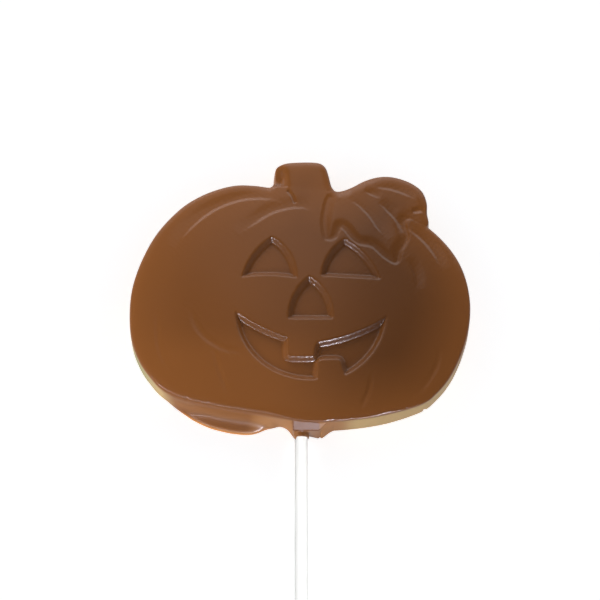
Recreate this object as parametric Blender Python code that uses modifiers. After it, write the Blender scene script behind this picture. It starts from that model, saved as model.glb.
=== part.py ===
"""Pumpkin lollipop: a moulded milk chocolate jack-o'-lantern on a rolled paper stick.

The lollipop lies on its flat back with the face up. X runs across the pumpkin, +Y points
to the stem and +Z out of the face. The origin is in the plane of the back, in the middle
of the pumpkin, on the line of the stick. All lengths are in metres.
"""
import math

import bmesh
import bpy
from mathutils import Vector

MM = 0.001

# The stick, and how deep the chocolate holds it
STICK_DIAMETER = 3.5 * MM
STICK_LENGTH = 114 * MM
STICK_HELD = 32 * MM
STICK_AXIS_HEIGHT = 2.5 * MM
STICK_EDGE_ROUND = 0.25 * MM
STICK_SIDES = 48
FIT_GAP = 0.3 * MM
BORE_SIDES = 32

# The moulded slab
BODY_HALF_WIDTH = 47.3 * MM
BODY_HALF_LENGTH = 36 * MM
FACE_HEIGHT = 6.8 * MM
CROWN = 0.5 * MM
RIM_ROUND = 0.8 * MM
DRAFT = math.radians(6)
RIM_STEPS = 3
CROWN_RINGS = (0.9, 0.72, 0.5, 0.25)
CURVE_STEPS = 4

# The stem rises slowly out of the face, and the leaf stands a little above it
STEM_TOP = 7.3 * MM
STEM_FOOT_HEIGHT = 6.75 * MM
STEM_FOOT_Y = 29 * MM
STEM_END_Y = 44.7 * MM
LEAF_RAISE = 0.55 * MM
RAISED_ROUND = 0.45 * MM

# The sunk eyes, nose and mouth
FACE_DEPTH = 1.3 * MM
WALL_RUN = 0.9 * MM
CUTTER_HEAD = 1.5 * MM
ARC_SIDE = 2.2 * MM

# The grooves that draw the ribs of the pumpkin and the veins of the leaf
RIB_WIDTH = 1.6 * MM
RIB_DEPTH = 0.4 * MM
VEIN_WIDTH = 1.3 * MM
VEIN_DEPTH = 0.4 * MM
GROOVE_FADE = 1.25
WELD = 0.01 * MM

# The block on the lower edge where the stick goes in
BOSS_LEFT = -2.65 * MM
BOSS_RIGHT = 4.75 * MM
BOSS_FRONT = -37.0 * MM
BOSS_BACK = -30.0 * MM
BOSS_RAMP_TOP = -33.9 * MM
BOSS_RAMP_FOOT = -36.4 * MM
BOSS_FRONT_HEIGHT = 5.1 * MM
BOSS_TOP_HEIGHT = 6.65 * MM
BOSS_EDGE = 0.4 * MM
OVERLAP = 2 * MM

# A pulled tip of chocolate at the right foot of the block
TIP_MIDDLE = 5.05 * MM
TIP_REACH = 1.1 * MM
TIP_HEIGHT = 0.9 * MM
TIP_HALF_WIDTH = 0.9 * MM
TIP_END_HALF = 0.3 * MM
TIP_EDGE = 0.25 * MM

# Chocolate that crept a little way along the stick
COLLAR_REACH = 1.3 * MM
COLLAR_WALL = 0.45 * MM
COLLAR_SIDES = 16

# The thin sheet of chocolate that ran over the edge of the mould
SPILL_HEIGHT = 1.3 * MM
SPILL_ROUND = 0.45 * MM

# The slanting left side of the stem, in millimetres, hinged on the line from foot to top
FACET_OUTLINE = [(-3.2, 35.5), (-5.6, 44), (-16, 47), (-16, 37.4), (-9, 36.2)]
FACET_FOOT = (-3.2, 35.5)
FACET_TOP = (-5.6, 44)
FACET_SLOPE = math.radians(28)

# Outlines in millimetres, counter-clockwise, seen from above.
BODY_OUTLINE = [
    (1, -34.9), (12, -34.6), (22, -33.1), (32, -30.2), (36.8, -26.5), (40.5, -21.9),
    (43.9, -15.2), (46.2, -7.8), (47, 0), (46, 8), (43.2, 14.9), (38.3, 21.4),
    (32, 26.6), (22, 31.4), (11.5, 33.7), (0, 35.8), (-8.5, 36.3), (-13.5, 37),
    (-19, 37.1), (-24.5, 35.7), (-30, 33.1), (-35.4, 28.9), (-41.2, 21.5), (-45, 13.2), (-47.2, 4.8),
    (-47.6, -3), (-46.6, -11.4), (-44.1, -17.8), (-41, -22.3), (-37, -26.4),
    (-30.8, -29.2), (-20, -31.6), (-10, -33.2),
]
STEM_OUTLINE = [
    (-7, 33), (-3, 29.2), (4, 29.2), (11, 31.5), (10.4, 34.2), (8.9, 36.6), (8.1, 40.2),
    (7.1, 43.1), (5, 44.5), (0, 44.7), (-4.8, 44.3), (-7.4, 43.2), (-7.8, 40.8),
    (-7.9, 38.6), (-8.9, 36.9),
]
LEAF_OUTLINE = [
    (7, 19.8), (8.2, 19), (9.7, 19.9), (11.2, 22.9), (12.6, 22.1), (15.8, 18.1),
    (20.2, 16.8), (23.8, 13.4), (26.7, 11.7), (28, 15.2), (30.1, 19.6), (29.6, 24.2),
    (31.6, 26.2), (36.5, 23.7), (36.5, 27.8), (36.6, 31.2), (35.5, 34.9), (33, 37.4), (30, 39),
    (26.4, 40), (22.5, 39.9), (18.4, 38.5), (15, 36.5), (12, 35.2), (9.6, 34.7), (8, 32.6),
    (7, 29), (6.4, 24.4),
]
SPILL_OUTLINE = [
    (-41.8, -19.8), (-39.8, -24.4), (-36, -28.1), (-30.7, -32.2), (-25.6, -34.9),
    (-20.5, -36.4), (-15.5, -37.1), (-11.4, -36.9), (-8.8, -35.5), (-6.3, -34.8),
    (-7, -28), (-20, -26), (-32, -22),
]

# Each sunk shape is a ring of arcs: a start, then a middle and an end for every arc.
LEFT_EYE = [(-16.9, 6.7), (-12.7, 15.9), (-8.3, 20), (-3.2, 14.6), (-1.1, 6.4), (-9, 7.3)]
RIGHT_EYE = [(5.4, 7.1), (8.5, 15.6), (12.4, 19.4), (18.7, 13.7), (22.4, 6.1), (14, 6.6)]
NOSE = [(-3.8, -5.9), (-2.3, 1.6), (2.3, 7.5), (7.2, 2.2), (8.9, -5.9), (2.5, -6)]
MOUTH = [
    (-18.4, -3.1), (-11, -7.9), (-3.4, -11.2), (-3.6, -13.5), (-3.4, -16.6), (0, -16.7),
    (3.4, -16.6), (3.5, -14.5), (4.3, -12.5), (14, -9.9), (23.7, -4.8), (20.6, -14.2),
    (11.6, -22.4), (10.9, -20.1), (10.4, -17.8), (7.5, -17.7), (4.9, -18),
    (4.6, -20.6), (4.5, -23.5), (-11.2, -18.6),
]

# Centre lines of the grooves, in millimetres.
RIBS = [
    [(-36.2, 16.2), (-32.7, 22.2), (-26.5, 28.3), (-19.3, 31.9), (-12, 32.9), (-4.6, 31.8)],
    [(-18.2, 21), (-14, 24.3), (-9, 27.8), (-4, 29.5), (0, 29.8), (3.4, 28.9)],
    [(30.2, 23.3), (34.5, 19.5), (37.7, 15.1), (40.2, 9.6)],
    [(30.4, 13), (32.2, 8), (32.6, 3.2)],
    [(-39.9, -1), (-39, -12.5), (-36.6, -18.8), (-33.3, -22.7)],
    [(-23.8, -14.1), (-22, -20.7), (-19, -28)],
    [(19, -22), (17.8, -27), (15.6, -31.5)],
    [(37.7, -13.6), (36.1, -20.3), (31, -27.4)],
]
VEINS = [
    [(13.8, 32.4), (16.6, 30.6), (19.6, 27.2), (22.2, 22.8), (24.8, 18.9)],
    [(22.6, 31.4), (25.8, 27.8), (28, 24.6), (29.6, 20.6)],
    [(18.4, 35.1), (20.8, 33.9), (23.2, 32.7)],
    [(21, 36.7), (26, 35.9), (30, 34.4), (33.6, 32.4)],
    [(31.9, 28.4), (33.4, 28.3), (35.2, 28.8)],
]
STEM_SEAM = [(-3.7, 34.7), (-2.7, 33.2), (-1.9, 31.2)]


def clear_scene():
    """Remove the objects that a new file opens with."""
    for item in list(bpy.data.objects):
        bpy.data.objects.remove(item, do_unlink=True)


def new_collection(name):
    """Make a collection in the scene."""
    group = bpy.data.collections.new(name)
    bpy.context.scene.collection.children.link(group)
    return group


def principled(name, colour, roughness, coat=0.0):
    """Make a plain material with a colour, a roughness and a clear coat."""
    material = bpy.data.materials.new(name)
    material.use_nodes = True
    shader = material.node_tree.nodes["Principled BSDF"]
    shader.inputs["Base Color"].default_value = (*colour, 1)
    shader.inputs["Roughness"].default_value = roughness
    shader.inputs["Metallic"].default_value = 0.0
    shader.inputs["Coat Weight"].default_value = coat
    return material


def object_from(bm, name, group):
    """Turn a bmesh into an object, with its faces pointing outwards."""
    bmesh.ops.recalc_face_normals(bm, faces=bm.faces)
    mesh = bpy.data.meshes.new(name)
    bm.to_mesh(mesh)
    bm.free()
    item = bpy.data.objects.new(name, mesh)
    group.objects.link(item)
    return item


def spline(points, closed, steps):
    """Run a smooth line through the points, given in millimetres."""
    count = len(points)
    spans = count if closed else count - 1
    line = []
    for i in range(spans):
        if closed:
            a, b, c, d = (Vector(points[(i + k) % count]) for k in (-1, 0, 1, 2))
        else:
            a, b, c, d = (Vector(points[min(max(i + k, 0), count - 1)]) for k in (-1, 0, 1, 2))
        for step in range(steps):
            t = step / steps
            line.append(0.5 * (2 * b + (c - a) * t + (2 * a - 5 * b + 4 * c - d) * t ** 2
                               + (3 * b - a - 3 * c + d) * t ** 3) * MM)
    if not closed:
        line.append(Vector(points[-1]) * MM)
    return line


def arc_through(start, middle, end, steps):
    """Points of the arc from start through middle, without its end point."""
    a, b, c = Vector(start) * MM, Vector(middle) * MM, Vector(end) * MM
    cross = (b - a).cross(c - a)
    if abs(cross) < 1e-9:
        return [a.lerp(c, step / steps) for step in range(steps)]
    ab, ac = b - a, c - a
    centre = a + Vector((ac.y * ab.length_squared - ab.y * ac.length_squared,
                         ab.x * ac.length_squared - ac.x * ab.length_squared)) / (2 * cross)
    sweep = (a - centre).angle_signed(c - centre)
    first = math.atan2(a.y - centre.y, a.x - centre.x)
    turn = -sweep
    if (turn > 0) != (cross > 0):
        turn -= math.copysign(2 * math.pi, turn)
    radius = (a - centre).length
    return [centre + radius * Vector((math.cos(first + turn * step / steps),
                                      math.sin(first + turn * step / steps)))
            for step in range(steps)]


def ring_of_arcs(points, longest):
    """Close a ring of arcs, each split so that no side is longer than asked."""
    ring = []
    for i in range(0, len(points), 2):
        start, middle, end = points[i], points[i + 1], points[(i + 2) % len(points)]
        chord = (Vector(end) - Vector(start)).length * MM
        ring += arc_through(start, middle, end, max(2, math.ceil(chord / longest)))
    return ring


def signed_area(ring):
    """Area inside a ring, positive when it runs counter-clockwise."""
    return 0.5 * sum(ring[i - 1].cross(ring[i]) for i in range(len(ring)))


def offset_ring(ring, distance):
    """Move a ring outwards by a distance, or inwards by a negative one."""
    side = math.copysign(1, signed_area(ring))
    moved = []
    for i, point in enumerate(ring):
        before = (point - ring[i - 1]).normalized()
        after = (ring[(i + 1) % len(ring)] - point).normalized()
        normal = Vector((before.y + after.y, -before.x - after.x)) * side
        normal.normalize()
        stretch = max(0.45, normal.dot(Vector((before.y, -before.x)) * side))
        moved.append(point + normal * distance / stretch)
    return moved


def loft(name, levels, group, apex=None):
    """Skin a stack of rings, closing the ends with a face or, on top, an apex."""
    bm = bmesh.new()
    loops = []
    for ring, height in levels:
        heights = height if callable(height) else (lambda point, level=height: level)
        loops.append([bm.verts.new((p.x, p.y, heights(p))) for p in ring])
    count = len(loops[0])
    for low, high in zip(loops, loops[1:]):
        for i in range(count):
            bm.faces.new((low[i - 1], low[i], high[i], high[i - 1]))
    bm.faces.new(loops[0])
    if apex is None:
        bm.faces.new(loops[-1])
    else:
        tip = bm.verts.new(apex)
        for i in range(count):
            bm.faces.new((loops[-1][i - 1], loops[-1][i], tip))
    return object_from(bm, name, group)


def prism(name, profile, start, end, axis, group):
    """A profile drawn across an axis and drawn out along it from start to end."""
    bm = bmesh.new()
    verts = []
    for across, height in profile:
        place = [across, across, height]
        place[axis] = start
        verts.append(bm.verts.new(place))
    grown = bmesh.ops.extrude_face_region(bm, geom=[bm.faces.new(verts)])
    for vert in (v for v in grown["geom"] if isinstance(v, bmesh.types.BMVert)):
        vert.co[axis] = end
    return object_from(bm, name, group)


def crown_height(point):
    """Height of the gently domed face above the back."""
    reach = Vector((point.x / BODY_HALF_WIDTH, point.y / BODY_HALF_LENGTH)).length
    return FACE_HEIGHT + CROWN * max(0.0, 1 - reach ** 2)


def stem_height(point):
    """Height of the stem's front, a plane that climbs away from the face."""
    share = (point.y - STEM_FOOT_Y) / (STEM_END_Y - STEM_FOOT_Y)
    return STEM_FOOT_HEIGHT + (STEM_TOP - STEM_FOOT_HEIGHT) * share


def leaf_height(point):
    """Height of the leaf, which follows the domed face."""
    return crown_height(point) + LEAF_RAISE


def rim_levels(outline, top, rounding):
    """Rings of a drafted wall that turns into the top with a rounded rim."""
    run = (FACE_HEIGHT - rounding) * math.tan(DRAFT)
    levels = [(offset_ring(outline, run), 0.0),
              (outline, lambda p: top(p) - rounding)]
    for step in range(1, RIM_STEPS + 1):
        angle = 0.5 * math.pi * step / RIM_STEPS
        rise = rounding * (1 - math.sin(angle))
        levels.append((offset_ring(outline, -rounding * (1 - math.cos(angle))),
                       lambda p, below=rise: top(p) - below))
    return levels


def make_body(group):
    """The pumpkin: drafted sides, a rounded rim and a gently domed face."""
    outline = spline(BODY_OUTLINE, True, CURVE_STEPS)
    levels = rim_levels(outline, lambda p: FACE_HEIGHT, RIM_ROUND)
    rim = levels[-1][0]
    levels += [([point * scale for point in rim], crown_height) for scale in CROWN_RINGS]
    return loft("body", levels, group, apex=(0, 0, FACE_HEIGHT + CROWN))


def make_raised(name, points, top, group):
    """A shape that stands a little above the face, with a rounded rim."""
    outline = spline(points, True, CURVE_STEPS)
    return loft(name, rim_levels(outline, top, RAISED_ROUND), group)


def make_spill(group):
    """The thin overflow along the lower left edge, lying in the plane of the back."""
    outline = spline(SPILL_OUTLINE, True, CURVE_STEPS)
    levels = [(offset_ring(outline, -SPILL_ROUND * 0.5), 0.0), (outline, SPILL_ROUND)]
    for angle in (math.radians(45), math.radians(90)):
        levels.append((offset_ring(outline, -SPILL_ROUND * 2 * (1 - math.cos(angle))),
                       SPILL_ROUND + (SPILL_HEIGHT - SPILL_ROUND) * math.sin(angle)))
    return loft("spill", levels, group)


def make_boss(group):
    """The block round the stick: a ramp down from the face, then an upright front."""
    profile = [(BOSS_BACK, 0.0), (BOSS_FRONT - BOSS_EDGE, 0.0), (BOSS_FRONT, BOSS_EDGE),
               (BOSS_RAMP_FOOT - BOSS_EDGE, BOSS_FRONT_HEIGHT - BOSS_EDGE),
               (BOSS_RAMP_FOOT, BOSS_FRONT_HEIGHT), (BOSS_RAMP_TOP, BOSS_TOP_HEIGHT),
               (BOSS_BACK, BOSS_TOP_HEIGHT)]
    return prism("boss", profile, BOSS_LEFT, BOSS_RIGHT, 0, group)


def make_tip(group):
    """The small pulled tip at the right foot of the block."""
    front = BOSS_FRONT - BOSS_EDGE
    sides = [(-TIP_HALF_WIDTH, front + OVERLAP), (-TIP_HALF_WIDTH, front),
             (-TIP_END_HALF, front - TIP_REACH), (TIP_END_HALF, front - TIP_REACH),
             (TIP_HALF_WIDTH, front), (TIP_HALF_WIDTH, front + OVERLAP)]
    ring = [Vector((TIP_MIDDLE + x, y)) for x, y in sides]
    return loft("tip", [(ring, 0.0), (ring, TIP_HEIGHT - TIP_EDGE),
                        (offset_ring(ring, -TIP_EDGE), TIP_HEIGHT)], group)


def make_collar(group):
    """Chocolate round the stick in front of the block, rounded over the stick."""
    radius = STICK_DIAMETER / 2 + FIT_GAP + COLLAR_WALL
    profile = [(-radius, 0.0), (radius, 0.0)]
    for i in range(COLLAR_SIDES + 1):
        angle = math.pi * i / COLLAR_SIDES
        profile.append((radius * math.cos(angle),
                        STICK_AXIS_HEIGHT + radius * math.sin(angle)))
    return prism("collar", profile, BOSS_FRONT - COLLAR_REACH, BOSS_FRONT + OVERLAP, 1, group)


def make_sunk_cutter(name, points, group):
    """A cutter for an eye, the nose or the mouth, narrower at its floor."""
    ring = ring_of_arcs(points, ARC_SIDE)
    slope = WALL_RUN / FACE_DEPTH
    levels = [(offset_ring(ring, -WALL_RUN), lambda p: crown_height(p) - FACE_DEPTH),
              (offset_ring(ring, slope * CUTTER_HEAD), lambda p: crown_height(p) + CUTTER_HEAD)]
    return loft(name, levels, group)


def make_groove_cutter(name, points, width, depth, surface, group):
    """A tube along a groove, sunk to its depth and lifted out at both ends."""
    radius = (0.25 * width ** 2 + depth ** 2) / (2 * depth)
    rough = spline(points, False, 2)
    data = bpy.data.curves.new(name, "CURVE")
    data.dimensions = "3D"
    data.bevel_depth = radius
    data.bevel_resolution = 3
    data.use_fill_caps = True
    line = data.splines.new("POLY")
    line.points.add(len(rough) - 1)
    for i, (node, point) in enumerate(zip(line.points, rough)):
        share = 2 * i / (len(rough) - 1) - 1
        sink = depth * (1 - GROOVE_FADE * share ** 4)
        node.co = (point.x, point.y, surface(point) + radius - sink, 1)
    tube = bpy.data.objects.new(name + "_line", data)
    bpy.context.scene.collection.objects.link(tube)
    bpy.context.view_layer.update()
    evaluated = tube.evaluated_get(bpy.context.evaluated_depsgraph_get())
    mesh = bpy.data.meshes.new_from_object(evaluated)
    bm = bmesh.new()
    bm.from_mesh(mesh)
    bmesh.ops.remove_doubles(bm, verts=bm.verts, dist=WELD)
    bpy.data.meshes.remove(mesh)
    bpy.data.objects.remove(tube, do_unlink=True)
    return object_from(bm, name, group)


def make_facet_cutter(group):
    """A block with a tilted underside that slants the left side of the stem."""
    foot = Vector(FACET_FOOT) * MM
    along = (Vector(FACET_TOP) * MM - foot).normalized()
    across = Vector((-along.y, along.x))

    def underside(point):
        return STEM_TOP - max(0.0, across.dot(point - foot)) * math.tan(FACET_SLOPE)

    ring = [Vector(point) * MM for point in FACET_OUTLINE]
    return loft("facet_cutter", [(ring, underside), (ring, STEM_TOP + CUTTER_HEAD)], group)


def rod(name, radius, front, back, sides, group):
    """A round rod along Y at the height of the stick's axis."""
    bm = bmesh.new()
    bmesh.ops.create_cone(bm, cap_ends=True, segments=sides, radius1=radius, radius2=radius,
                          depth=back - front)
    for vert in bm.verts:
        vert.co = (vert.co.x, vert.co.z, vert.co.y)
    item = object_from(bm, name, group)
    item.location = (0, (front + back) / 2, STICK_AXIS_HEIGHT)
    return item


def apply_boolean(item, operation, group):
    """Join or cut an object with all the objects of a collection, for good.

    The forms share the plane of the back, which the manifold solver joins cleanly.
    """
    modifier = item.modifiers.new(operation.lower(), "BOOLEAN")
    modifier.operation = operation
    modifier.operand_type = "COLLECTION"
    modifier.collection = group
    modifier.solver = "MANIFOLD"
    bpy.context.view_layer.update()
    evaluated = item.evaluated_get(bpy.context.evaluated_depsgraph_get())
    mesh = bpy.data.meshes.new_from_object(evaluated)
    item.modifiers.clear()
    item.data = mesh


def hide_cutters(group):
    """Leave the cutters out of view and out of the model."""
    for item in list(group.objects):
        item.hide_render = True
        item.display_type = "WIRE"


def make_chocolate(parts, cutters):
    """The whole chocolate: fused forms, then the sunk face, grooves and stick hole."""
    joined = new_collection("joined_forms")
    make_raised("stem", STEM_OUTLINE, stem_height, joined)
    make_raised("leaf", LEAF_OUTLINE, leaf_height, joined)
    make_spill(joined)
    make_boss(joined)
    make_tip(joined)
    make_collar(joined)
    chocolate = make_body(parts)
    chocolate.name = "chocolate"
    apply_boolean(chocolate, "UNION", joined)
    for item in list(joined.objects):
        bpy.data.objects.remove(item, do_unlink=True)
    bpy.data.collections.remove(joined)

    for name, points in (("left_eye", LEFT_EYE), ("right_eye", RIGHT_EYE),
                         ("nose", NOSE), ("mouth", MOUTH)):
        make_sunk_cutter(name + "_cutter", points, cutters)
    for i, points in enumerate(RIBS):
        make_groove_cutter(f"rib_cutter_{i}", points, RIB_WIDTH, RIB_DEPTH, crown_height, cutters)
    for i, points in enumerate(VEINS):
        make_groove_cutter(f"vein_cutter_{i}", points, VEIN_WIDTH, VEIN_DEPTH,
                           leaf_height, cutters)
    make_groove_cutter("seam_cutter", STEM_SEAM, VEIN_WIDTH, VEIN_DEPTH,
                       stem_height, cutters)
    make_facet_cutter(cutters)
    rod("bore_cutter", STICK_DIAMETER / 2 + FIT_GAP, BOSS_FRONT - COLLAR_REACH - OVERLAP,
        BOSS_FRONT + STICK_HELD + FIT_GAP, BORE_SIDES, cutters)
    hide_cutters(cutters)
    apply_boolean(chocolate, "DIFFERENCE", cutters)
    return chocolate


def make_stick(parts):
    """The straight paper stick, with its end in the chocolate and the rest free."""
    inner_end = BOSS_FRONT + STICK_HELD
    stick = rod("stick", STICK_DIAMETER / 2, inner_end - STICK_LENGTH, inner_end,
                STICK_SIDES, parts)
    edge = stick.modifiers.new("rounded ends", "BEVEL")
    edge.width = STICK_EDGE_ROUND
    edge.segments = 2
    edge.limit_method = "ANGLE"
    edge.angle_limit = math.radians(60)
    return stick


def main():
    clear_scene()
    parts = new_collection("pumpkin_lollipop")
    cutters = new_collection("cutters")
    chocolate = make_chocolate(parts, cutters)
    chocolate.data.materials.clear()
    chocolate.data.materials.append(principled("milk_chocolate", (0.14, 0.055, 0.02), 0.3, 0.2))
    stick = make_stick(parts)
    stick.data.materials.append(principled("rolled_paper", (0.85, 0.85, 0.83), 0.75))
    for item in (chocolate, stick):
        item.data.shade_smooth()
        item.data.set_sharp_from_angle(angle=math.radians(35))


main()
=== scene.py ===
import math
import bpy
import numpy as np
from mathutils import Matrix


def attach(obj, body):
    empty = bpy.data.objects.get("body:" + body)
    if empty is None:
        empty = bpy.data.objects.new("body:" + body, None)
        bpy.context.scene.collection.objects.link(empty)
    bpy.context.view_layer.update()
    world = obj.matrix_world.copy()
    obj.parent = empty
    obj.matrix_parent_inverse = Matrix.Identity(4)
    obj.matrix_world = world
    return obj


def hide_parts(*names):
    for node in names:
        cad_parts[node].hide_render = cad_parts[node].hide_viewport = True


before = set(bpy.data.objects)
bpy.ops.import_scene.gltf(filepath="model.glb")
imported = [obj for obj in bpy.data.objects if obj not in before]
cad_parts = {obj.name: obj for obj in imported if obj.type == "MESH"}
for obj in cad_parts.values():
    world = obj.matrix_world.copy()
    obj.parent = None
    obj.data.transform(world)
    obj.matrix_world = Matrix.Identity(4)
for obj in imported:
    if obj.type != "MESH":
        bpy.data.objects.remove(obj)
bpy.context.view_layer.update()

# A milk chocolate pumpkin on a rolled paper stick, lying on its flat back with the face up.
# Outlines and reliefs are in millimetres, seen from above.
mm = 0.001

pumpkin = {
    "outline": [
        (1, -34.9), (12, -34.6), (22, -33.1), (32, -30.2), (36.8, -26.5), (40.5, -21.9),
        (43.9, -15.2), (46.2, -7.8), (47, 0), (46, 8), (43.2, 14.9), (38.3, 21.4),
        (32, 26.6), (22, 31.4), (11.5, 33.7), (0, 35.8), (-8.5, 36.3), (-13.5, 37),
        (-19, 37.1), (-24.5, 35.7), (-30, 33.1), (-35.4, 28.9), (-41.2, 21.5), (-45, 13.2),
        (-47.2, 4.8), (-47.6, -3), (-46.6, -11.4), (-44.1, -17.8), (-41, -22.3), (-37, -26.4),
        (-30.8, -29.2), (-20, -31.6), (-10, -33.2),
    ],
    "faceHeight": 6.8,
    "crown": 0.5,          # how far the middle of the face stands above its edge
    "crownHalfWidth": 47.3,
    "crownHalfLength": 36,
    "rimRound": 0.8,
    "rimStart": 82,        # how much of its quarter turn the rounded rim makes, in degrees
    "softRound": 1.6,      # radius of the lower edge on the left
    "crispRound": 0.35,    # radius of the lower edge on the right
    # small flats on the lower edge: place, half width, width of the flat
    "glints": [
        (7.4, 0.7, 0.35), (8.6, 0.3, 0.3), (10.6, 0.9, 0.16), (13.3, 0.45, 0.45),
        (15.6, 0.8, 0.1), (18.6, 0.5, 0.2), (21.3, 1.6, 0.34), (23.6, 0.5, 0.3),
        (25.8, 0.5, 0.3), (28, 0.25, 0.4), (35.6, 0.3, 0.3), (-16.5, 1.0, 0.2),
        (-24.8, 0.4, 0.3), (-28, 0.3, 0.25), (-30.8, 0.5, 0.35),
    ],
    "flatSlope": 36,       # slope of those flats, in degrees
    "nick": (33.2, 0.35, 0.5),  # a chip at the foot of the wall: place, half width, depth
    "edgeRoll": 0.24,      # how far the face sinks towards its rim, and over which width
    "edgeRun": 2.8,
    "cell": 0.8,           # size of the cells of the face before they are cut finer
    "columnStep": 0.28,    # spacing of the columns of the rim and wall
    "wallRows": 16,
    "wallRipple": 0.05,
    "waveHeight": 0.02,    # low waves of the whole front, and its fine unevenness
    "fineHeight": 0.008,
    "draft": 0.62,         # how far the foot of the wall stands outside its top
    "notchPasses": 5,      # rounds the corners where stem, leaf and body meet
    "dropStart": 0.3,      # a shape falls away this far outside its own outline
    "dropSlope": 3,
}


def evenSteps(line, closed, spacing):
    # the same line, cut into even steps
    loop = np.vstack([line, line[:1]]) if closed else line
    along = np.concatenate([[0], np.cumsum(np.linalg.norm(np.diff(loop, axis=0), axis=1))])
    count = max(4, round(along[-1] / spacing))
    at = np.linspace(0, along[-1], count, endpoint=not closed)
    return np.column_stack([np.interp(at, along, loop[:, k]) for k in range(2)])


def curveThrough(points, closed, spacing=0.3):
    # a smooth curve through a few points
    p = np.array(points, float)
    if closed:
        p = np.vstack([p[-1:], p, p[:2]])
    else:
        p = np.vstack([2 * p[:1] - p[1:2], p, 2 * p[-1:] - p[-2:-1]])
    t = np.linspace(0, 1, 16, endpoint=False)[:, None]
    spans = [0.5 * (2 * b + (c - a) * t + (2 * a - 5 * b + 4 * c - d) * t ** 2
                    + (3 * b - a - 3 * c + d) * t ** 3)
             for a, b, c, d in zip(p, p[1:], p[2:], p[3:])]
    line = np.vstack(spans if closed else spans + [p[-2:-1]])
    return evenSteps(line, closed, spacing)


def softened(ring, passes):
    # rounds the corners of a closed line
    for _ in range(passes):
        ring = 0.5 * ring + 0.25 * (np.roll(ring, 1, 0) + np.roll(ring, -1, 0))
    return ring


def arcRing(points, passes, spacing=0.25):
    # a closed line of arcs, given as start, middle, end, middle and so on
    line = []
    for i in range(0, len(points), 2):
        a, b, c = (np.array(points[(i + k) % len(points)], float) for k in range(3))
        cross = (b[0] - a[0]) * (c[1] - a[1]) - (b[1] - a[1]) * (c[0] - a[0])
        if abs(cross) < 0.01:
            line += [a + (c - a) * k / 24 for k in range(24)]
            continue
        ab, ac = b - a, c - a
        centre = a + np.array([ac[1] * ab.dot(ab) - ab[1] * ac.dot(ac),
                               ab[0] * ac.dot(ac) - ac[0] * ab.dot(ab)]) / (2 * cross)
        first, last = (math.atan2(*(q - centre)[::-1]) for q in (a, c))
        turn = (last - first) % (2 * math.pi)
        if cross < 0:
            turn -= 2 * math.pi
        radius = np.linalg.norm(a - centre)
        line += [centre + radius * np.array([math.cos(first + turn * k / 24),
                                             math.sin(first + turn * k / 24)])
                 for k in range(24)]
    return softened(evenSteps(np.array(line), True, spacing), passes)


def gapTo(points, line, closed, reach):
    # how far each point is from a line, at most reach, how far along the line that is,
    # and whether it lies on the line's left
    gap = np.full(len(points), float(reach))
    share = np.zeros(len(points))
    onLeft = np.zeros(len(points), bool)
    near = np.flatnonzero(((points > line.min(0) - reach) & (points < line.max(0) + reach)).all(1))
    start = line if closed else line[:-1]
    step = (np.roll(line, -1, 0) if closed else line[1:]) - start
    squared = (step ** 2).sum(1)
    for part in np.array_split(near, 1 + len(near) * len(start) // 2000000):
        if not len(part):
            continue
        dx = points[part, 0][:, None] - start[:, 0]
        dy = points[part, 1][:, None] - start[:, 1]
        t = np.clip((dx * step[:, 0] + dy * step[:, 1]) / squared, 0, 1)
        far = (dx - t * step[:, 0]) ** 2 + (dy - t * step[:, 1]) ** 2
        best = far.argmin(1)
        row = np.arange(len(part))
        gap[part] = np.minimum(reach, np.sqrt(far[row, best]))
        share[part] = (best + t[row, best]) / len(start)
        onLeft[part] = step[best, 0] * dy[row, best] > step[best, 1] * dx[row, best]
    return gap, share, onLeft


def depthIn(points, ring, reach):
    # distance from a closed line, positive inside it
    near = np.flatnonzero(((points > ring.min(0)) & (points < ring.max(0))).all(1))
    x, y = points[near].T
    odd = np.zeros(len(near), bool)
    for (ax, ay), (bx, by) in zip(ring, np.roll(ring, -1, 0)):
        if ay != by:
            odd ^= ((ay > y) != (by > y)) & (x < (bx - ax) * (y - ay) / (by - ay) + ax)
    sign = -np.ones(len(points))
    sign[near[odd]] = 1
    return sign * gapTo(points, ring, True, reach)[0]


def ramp(distance, run, fillet):
    # climbs from 0 to 1 over a run, straight in the middle and rounded at both ends
    u = np.clip(distance, 0, run)
    foot = u ** 2 / (2 * fillet)
    head = (run - fillet) - (run - u) ** 2 / (2 * fillet)
    climb = np.where(u > run - fillet, head, u - fillet / 2)
    return np.where(u < fillet, foot, climb) / (run - fillet)


def smoothMax(a, b, blend):
    # the larger of two heights, with the crease between them rounded
    near = np.maximum(blend - np.abs(a - b), 0) / blend
    return np.maximum(a, b) + near ** 2 * blend / 4


def mound(points, place, size):
    # a round hump of height 1 and given half widths
    return np.exp(-(((points - np.array(place)) / np.array(size)) ** 2).sum(1))


# the shapes drawn on the face
stem = {
    "outline": [
        (-7, 33), (-3, 29.2), (4, 29.2), (11, 31.5), (10.4, 34.2), (8.9, 36.6), (8.1, 40.2),
        (7.1, 43.1), (5, 44.5), (0, 44.7), (-4.8, 44.3), (-7.4, 43.2), (-7.8, 40.8),
        (-7.9, 38.6), (-8.9, 36.9),
    ],
    "footY": 29, "footHeight": 6.75, "endY": 44.7, "endHeight": 7.3,
    "facetFoot": (-3.2, 35.5), "facetTop": (-5.6, 44), "facetSlope": 0.42, "facetBlend": 0.6,
    "joinBlend": 0.3,      # rounding where the stem meets the body
    "pocket": ((-6.1, 39), (1.4, 3), 1.3),  # hollow on its left: place, half widths, depth
    "seam": [(-3.7, 34.7), (-2.7, 33.2), (-1.9, 31.2)],
    "seamWidth": 0.7, "seamDepth": 0.3,
    "edgeFine": 0.8,       # the mesh is cut finest this near the outline, and in this area
    "fineArea": ((-6.5, 39.5), (3.5, 5)),
}
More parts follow.
